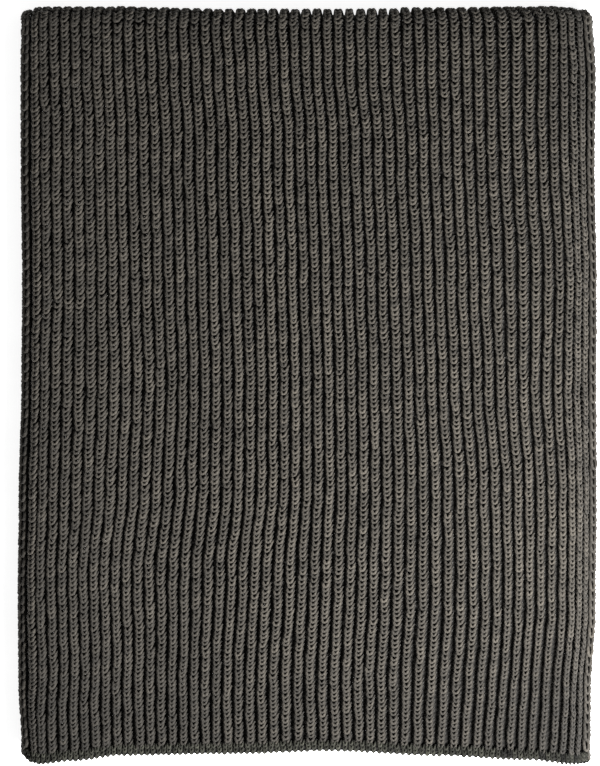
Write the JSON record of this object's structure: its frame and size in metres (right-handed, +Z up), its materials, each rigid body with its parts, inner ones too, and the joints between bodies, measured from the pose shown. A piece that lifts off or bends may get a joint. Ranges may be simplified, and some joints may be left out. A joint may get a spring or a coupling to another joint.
{
  "type": "folded rib-knit scarf",
  "caption": "Chunky rib-knit scarf folded in half twice and laid flat, with a cast-on border in front and a rounded fold at the far end.",
  "frame": {"origin": "middle of the footprint, on the surface that the folded scarf lies on", "axes": "+X across the strip from selvedge to selvedge, +Y along the ribs from the free front end to the outer fold, +Z up"},
  "size_m": [0.3426, 0.4488, 0.0209],
  "materials": {
    "rib_knit": "matt charcoal yarn in a deep brioche rib",
    "hem_knit": "matt charcoal yarn in a close cast-on border",
    "inner_knit": "matt charcoal yarn, the hidden layers"
  },
  "bodies": {
    "root": {"front_hem": "hem_knit", "top_stretch": "rib_knit", "far_turn": "rib_knit", "under_stretch": "rib_knit", "near_turn": "rib_knit", "inner_layers": "inner_knit", "inner_hem": "hem_knit"}
  },
  "joints": []
}
